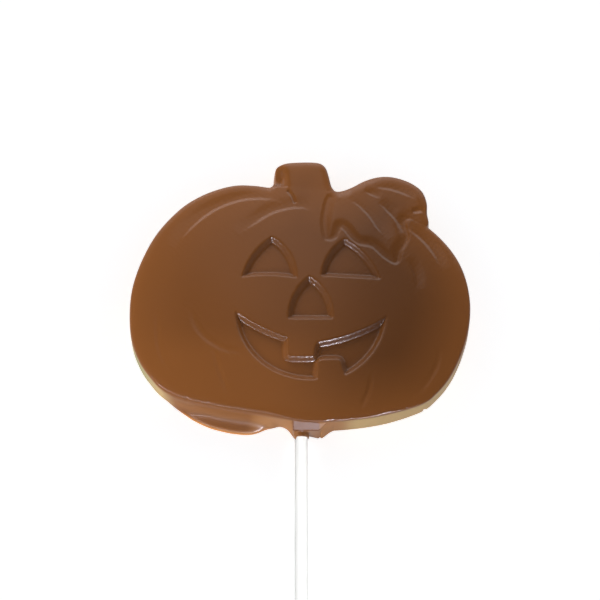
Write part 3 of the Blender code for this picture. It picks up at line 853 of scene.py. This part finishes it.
def chocolateMaterial():
    finish = chocolateFinish
    material, tree, shader = newMaterial("milkChocolate")
    link = tree.links.new
    place = addNode(tree, "TexCoord")
    cloud = addNode(tree, "TexNoise", Scale=finish["cloudScale"], Detail=3)
    link(place.outputs["Object"], cloud.inputs["Vector"])
    blend = addNode(tree, "Mix", data_type="RGBA")
    blend.inputs[6].default_value = (*finish["brown"], 1)
    blend.inputs[7].default_value = (*finish["deep"], 1)
    link(cloud.outputs["Fac"], blend.inputs[0])
    colour = blend.outputs[2]
    # mixes in the painted shade of the face, the painted light on the side wall and the painted
    # glow of the sheet's edge
    for name in ("shade", "paleLight", "pinkishLight", "creamLight", "thin"):
        mask = addNode(tree, "Attribute", attribute_name=name)
        tint = addNode(tree, "Mix", data_type="RGBA")
        link(mask.outputs["Fac"], tint.inputs[0])
        link(colour, tint.inputs[6])
        tint.inputs[7].default_value = (*finish[name], 1)
        colour = tint.outputs[2]
    link(colour, shader.inputs["Base Color"])
    rough = addNode(tree, "MapRange")
    for key, number in zip(("To Min", "To Max"), finish["roughness"]):
        rough.inputs[key].default_value = number
    link(cloud.outputs["Fac"], rough.inputs["Value"])
    dull = addNode(tree, "Attribute", attribute_name="dull")
    settle = addNode(tree, "Mix")
    link(dull.outputs["Fac"], settle.inputs[0])
    link(rough.outputs["Result"], settle.inputs[2])
    settle.inputs[3].default_value = finish["dullRoughness"]
    link(settle.outputs[0], shader.inputs["Roughness"])
    gloss = addNode(tree, "MapRange")
    gloss.inputs["To Min"].default_value = finish["coat"]
    gloss.inputs["To Max"].default_value = finish["dullCoat"]
    link(dull.outputs["Fac"], gloss.inputs["Value"])
    link(gloss.outputs["Result"], shader.inputs["Coat Weight"])
    grain = addNode(tree, "TexNoise", Scale=finish["grainScale"], Detail=2)
    link(place.outputs["Object"], grain.inputs["Vector"])
    bump = addNode(tree, "Bump", Strength=0.3, Distance=finish["grainDepth"])
    link(grain.outputs["Fac"], bump.inputs["Height"])
    link(bump.outputs["Normal"], shader.inputs["Normal"])
    shader.inputs["Coat Roughness"].default_value = finish["coatRoughness"]
    return material


def paperMaterial():
    finish = paperFinish
    material, tree, shader = newMaterial("rolledPaper")
    link = tree.links.new
    place = addNode(tree, "TexCoord")
    stretch = addNode(tree, "Mapping", Scale=finish["fibreStretch"])
    link(place.outputs["Object"], stretch.inputs["Vector"])
    fibre = addNode(tree, "TexNoise", Scale=finish["fibreScale"], Detail=4)
    link(stretch.outputs["Vector"], fibre.inputs["Vector"])
    blend = addNode(tree, "Mix", data_type="RGBA")
    blend.inputs[6].default_value = (*finish["white"], 1)
    blend.inputs[7].default_value = (*finish["shade"], 1)
    tone = addNode(tree, "MapRange")
    tone.inputs["From Min"].default_value = 0.35
    tone.inputs["From Max"].default_value = 0.9
    link(fibre.outputs["Fac"], tone.inputs["Value"])
    link(tone.outputs["Result"], blend.inputs[0])
    link(blend.outputs[2], shader.inputs["Base Color"])
    bump = addNode(tree, "Bump", Strength=0.3, Distance=finish["fibreDepth"])
    link(fibre.outputs["Fac"], bump.inputs["Height"])
    link(bump.outputs["Normal"], shader.inputs["Normal"])
    shader.inputs["Roughness"].default_value = finish["roughness"]
    return material


# camera, floor and light
camera = {
    "location": (-0.35, -111.74, 257.77), "tilt": 24,  # millimetres, degrees
    "focal": 989, "frame": 600,                        # focal length and width in pixels
}


def makeCamera():
    data = bpy.data.cameras.new("camera")
    data.sensor_width = 36
    data.lens = 36 * camera["focal"] / camera["frame"]
    data.clip_start = 0.01
    holder = bpy.data.objects.new("camera", data)
    holder.location = [v * mm for v in camera["location"]]
    holder.rotation_euler = (math.radians(camera["tilt"]), 0, 0)
    bpy.context.scene.collection.objects.link(holder)
    bpy.context.scene.camera = holder


lamps = {
    # name: place, size, power, colour, seen in reflections, lights the surface
    "leftPanel": ((-0.17, -0.015, 0.085), (0.16, 0.1), 0.2, (1.0, 0.98, 0.95), False, True),
    "rightPanel": ((0.14, 0.0, 0.06), (0.1, 0.05), 0.045, (1.0, 0.98, 0.95), False, True),
    "backPanel": ((-0.05, 0.22, 0.1), (0.16, 0.07), 0.52, (1.0, 0.98, 0.95), False, True),
    "frontPanel": ((-0.07, -0.15, 0.1), (0.12, 0.08), 0.2, (1.0, 0.99, 0.97), False, True),
    "stickPanel": ((0.02, -0.09, 0.22), (0.2, 0.2), 0.62, (1.0, 1.0, 1.0), False, True),
    "window": ((0.14, -0.413, 0.362), (0.18, 0.036), 1.9, (0.86, 0.86, 1.0), True, False),
    "middleWindow": ((0, -0.396, 0.396), (0.14, 0.05), 0.2, (0.86, 0.86, 1.0), True, False),
    "farWindow": ((-0.217, -0.357, 0.377), (0.14, 0.02), 0.13, (0.9, 0.88, 1.0), True, False),
    "sideWindow": ((-0.371, -0.238, 0.342), (0.1, 0.022), 0.41, (0.9, 0.88, 1.0), True, False),
}
room = {
    # what lights the surface: at the horizon, overhead, and where one becomes the other
    "horizon": 1.14, "overhead": 0.12, "fade": (0.2, 0.65),
    # the band low behind the lollipop that its gloss mirrors
    "behind": 1.2, "behindFrom": (0.45, 0.75), "bandTop": (0.69, 0.8), "bandFoot": (0.25, 0.5),
    "footShare": 0.35,
    # soft bright patches that its gloss mirrors: direction, size, strength
    "patches": [
        ((0.0, 0.56, 0.82), (0.22, 0.24, 0.6), 0.46),
        ((-0.33, 0.08, 0.94), (0.22, 0.22, 0.5), 0.2),
        ((-0.01, 0.36, 0.93), (0.11, 0.26, 0.6), 0.13),
    ],
    "floorSeen": 0.75, "floorLight": 0.3,
}


def makeLight(litOnly):
    # litOnly names the one piece that a lamp lights, where it doesn't light them all
    for name, (place, size, power, colour, mirrored, shading) in lamps.items():
        data = bpy.data.lights.new(name, "AREA")
        data.shape = "RECTANGLE"
        data.size, data.size_y = size
        data.energy = power
        data.color = colour
        lamp = bpy.data.objects.new(name, data)
        lamp.location = place
        toward = -lamp.location
        lamp.rotation_euler = toward.to_track_quat("-Z", "Y").to_euler()
        lamp.visible_camera = False
        lamp.visible_glossy = mirrored
        lamp.visible_diffuse = shading
        bpy.context.scene.collection.objects.link(lamp)
        if name in litOnly:
            group = bpy.data.collections.new(name + "Lit")
            group.objects.link(litOnly[name])
            lamp.light_linking.receiver_collection = group
    world = bpy.data.worlds.new("studio")
    bpy.context.scene.world = world
    world.use_nodes = True
    tree = world.node_tree
    link = tree.links.new

    def ranged(value, low, high, first, last):
        node = addNode(tree, "MapRange", interpolation_type="SMOOTHSTEP")
        ends = {"From Min": low, "From Max": high, "To Min": first, "To Max": last}
        for key, number in ends.items():
            node.inputs[key].default_value = number
        link(value, node.inputs["Value"])
        return node.outputs["Result"]

    def joined(operation, first, second):
        node = addNode(tree, "Math", operation=operation)
        for slot, value in enumerate((first, second)):
            if isinstance(value, float):
                node.inputs[slot].default_value = value
            else:
                link(value, node.inputs[slot])
        return node.outputs[0]

    background = tree.nodes["Background"]
    toward = addNode(tree, "TexCoord")
    split = addNode(tree, "SeparateXYZ")
    link(toward.outputs["Generated"], split.inputs[0])
    height, depth = split.outputs["Z"], split.outputs["Y"]
    shading = ranged(height, *room["fade"], room["horizon"], room["overhead"])
    low = joined("MULTIPLY", ranged(height, *room["bandTop"], 1.0, 0.0),
                 ranged(height, *room["bandFoot"], room["footShare"], 1.0))
    behind = ranged(depth, *room["behindFrom"], 0.0, room["behind"])
    mirrored = joined("MULTIPLY", low, behind)
    for direction, size, strength in room["patches"]:
        spot = addNode(tree, "Mapping", vector_type="TEXTURE")
        spot.inputs["Location"].default_value = direction
        spot.inputs["Scale"].default_value = size
        link(toward.outputs["Generated"], spot.inputs["Vector"])
        away = addNode(tree, "VectorMath", operation="LENGTH")
        link(spot.outputs["Vector"], away.inputs[0])
        mirrored = joined("ADD", mirrored, ranged(away.outputs["Value"], 0.25, 1.0, strength, 0.0))
    rays = addNode(tree, "LightPath")
    glossy = rays.outputs["Is Glossy Ray"]
    other = joined("SUBTRACT", 1.0, glossy)
    light = joined("ADD", joined("MULTIPLY", glossy, mirrored), joined("MULTIPLY", other, shading))
    link(joined("MAXIMUM", light, rays.outputs["Is Camera Ray"]), background.inputs["Strength"])
    background.inputs["Color"].default_value = (0.97, 0.97, 1.0, 1)


def makeFloor():
    deselectAll()
    bpy.ops.mesh.primitive_plane_add(size=4, location=(0, 0, 0))
    floor = bpy.context.object
    floor.name = "floor"
    material, tree, shader = newMaterial("whiteFloor")
    shader.inputs["Base Color"].default_value = (0.9, 0.9, 0.9, 1)
    shader.inputs["Roughness"].default_value = 0.9
    shader.inputs["Emission Color"].default_value = (1, 1, 1, 1)
    rays = addNode(tree, "LightPath")
    glow = addNode(tree, "MapRange")
    glow.inputs["To Min"].default_value = room["floorLight"]
    glow.inputs["To Max"].default_value = room["floorSeen"]
    tree.links.new(rays.outputs["Is Camera Ray"], glow.inputs["Value"])
    tree.links.new(glow.outputs["Result"], shader.inputs["Emission Strength"])
    floor.data.materials.append(material)


bpy.context.scene.view_settings.view_transform = "Standard"
makeCamera()
makeFloor()
print("camera and floor are ready")

chocolate = makeChocolate()
tintChocolate(chocolate)
chocolate.data.materials.clear()
chocolate.data.materials.append(chocolateMaterial())
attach(chocolate, "root")
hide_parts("chocolate")
print("chocolate:", sum(len(face.vertices) - 2 for face in chocolate.data.polygons), "triangles")

paperStick = makeStick()
paperStick.data.materials.clear()
paperStick.data.materials.append(paperMaterial())
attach(paperStick, "root")
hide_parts("stick")
makeLight({"leftPanel": chocolate, "rightPanel": chocolate, "backPanel": chocolate,
           "frontPanel": chocolate, "stickPanel": paperStick})
print("stick:", sum(len(face.vertices) - 2 for face in paperStick.data.polygons), "triangles")
print("lamps and room are ready")
